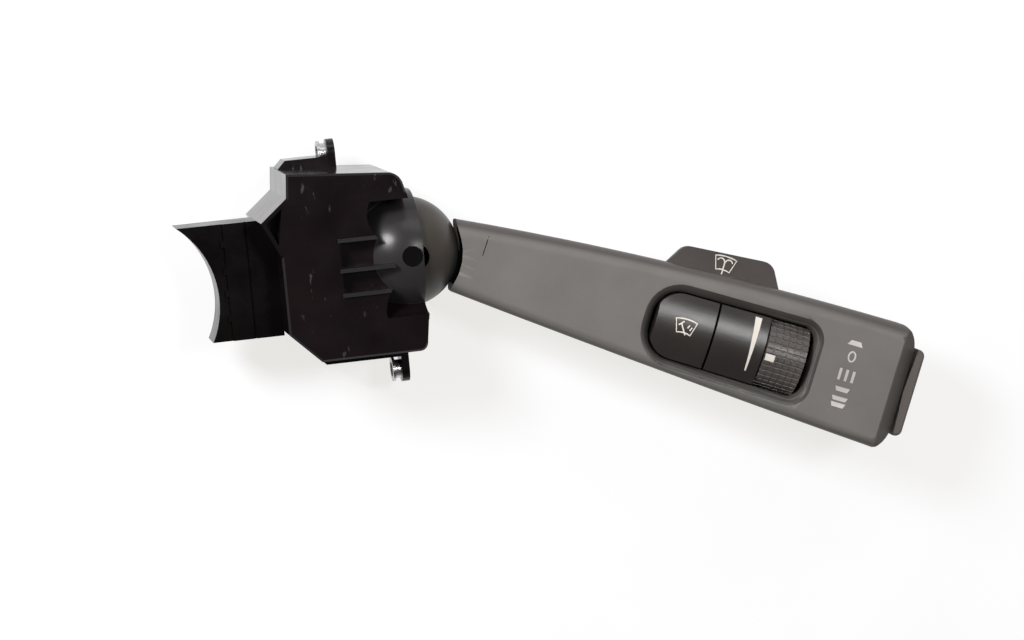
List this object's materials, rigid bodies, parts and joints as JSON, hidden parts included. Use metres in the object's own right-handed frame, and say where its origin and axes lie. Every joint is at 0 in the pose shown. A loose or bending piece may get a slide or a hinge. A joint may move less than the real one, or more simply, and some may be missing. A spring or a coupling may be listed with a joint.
{
  "type": "combination stalk switch",
  "caption": "Steering column stalk switch: a wiper lever on a spherical pivot, with button, thumbwheel and end rocker, carried by a switch housing with a column saddle.",
  "frame": {"origin": "foot of the lever's up-and-down pivot axis on the flat rear face of the housing", "axes": "+Z out of the front cover towards the driver, +X from the steering column out along the lever side, parallel to the fixing screws, +Y up as fitted"},
  "size_m": [0.2118, 0.1038, 0.0403],
  "materials": {
    "housing_black": "satin black moulded plastic, lightly scuffed",
    "ball_black": "smooth satin black",
    "lever_grey": "charcoal, fine moulded grain",
    "wing_grey": "warm charcoal, matt",
    "control_grey": "smooth dark grey",
    "wheel_grey": "knurled dark grey",
    "inner_plastic": "natural engineering plastic",
    "steel": "zinc plated",
    "spring_steel": "spring wire",
    "contact_brass": "tinned contact brass",
    "board_green": "coated circuit board",
    "pad_rubber": "silicone rubber"
  },
  "bodies": {
    "housing": {"front_cover": "housing_black", "rear_case": "housing_black", "column_saddle": "housing_black", "upper_bracket": "housing_black", "lower_bracket": "housing_black", "upper_bush": "steel", "lower_bush": "steel", "cover_screws": "steel", "circuit_board": "board_green", "connector_shroud": "housing_black", "terminal_pins": "contact_brass", "fixed_contacts": "contact_brass", "detent_cam": "inner_plastic"},
    "gimbal": {"pivot_frame": "inner_plastic", "cross_pin": "steel"},
    "lever": {"ball_dome": "ball_black", "lever_core": "inner_plastic", "front_shell": "lever_grey", "rear_shell": "wing_grey", "control_carrier": "control_grey", "lever_board": "board_green", "detent_plunger": "steel", "detent_spring": "spring_steel", "shell_screws": "steel", "wheel_axle": "steel", "wheel_click_spring": "spring_steel", "rocker_pin": "steel", "button_pad": "pad_rubber"},
    "button": {"sensor_button": "control_grey"},
    "wheel": {"thumbwheel": "wheel_grey"},
    "rocker": {"end_rocker": "lever_grey"},
    "slider": {"contact_slider": "inner_plastic", "slider_contacts": "contact_brass"}
  },
  "joints": [
    {"name": "wiper_swing", "type": "hinge", "parent": "housing", "child": "gimbal", "pos_m": [0, 0, 0.021], "axis": [0, 0, 1], "range_deg": [-19.5, 7]},
    {"name": "flash_tilt", "type": "hinge", "parent": "gimbal", "child": "lever", "pos_m": [0, 0, 0.021], "axis": [-0.3795, -0.9252, 0], "range_deg": [-5, 6], "stiffness_Nm_per_rad": 12},
    {"name": "button_press", "type": "slide", "parent": "lever", "child": "button", "axis": [0.0645, -0.0265, -0.9976], "range_m": [0, 0.0012], "stiffness_N_per_m": 900},
    {"name": "wheel_turn", "type": "hinge", "parent": "lever", "child": "wheel", "pos_m": [0.10498, -0.04117, 0.02848], "axis": [0.923, -0.3785, 0.0698], "range_deg": [-40, 40]},
    {"name": "rocker_tilt", "type": "hinge", "parent": "lever", "child": "rocker", "pos_m": [0.13588, -0.05357, 0.03121], "axis": [-0.0645, 0.0265, 0.9976], "range_deg": [-4, 4]},
    {"name": "slider_travel", "type": "slide", "parent": "housing", "child": "slider", "axis": [0, 1, 0], "range_m": [-0.00195, 0.00541]}
  ],
  "couplings": [
    {"joint": "slider_travel", "follows": "wiper_swing", "m_per_rad": -0.015858}
  ]
}
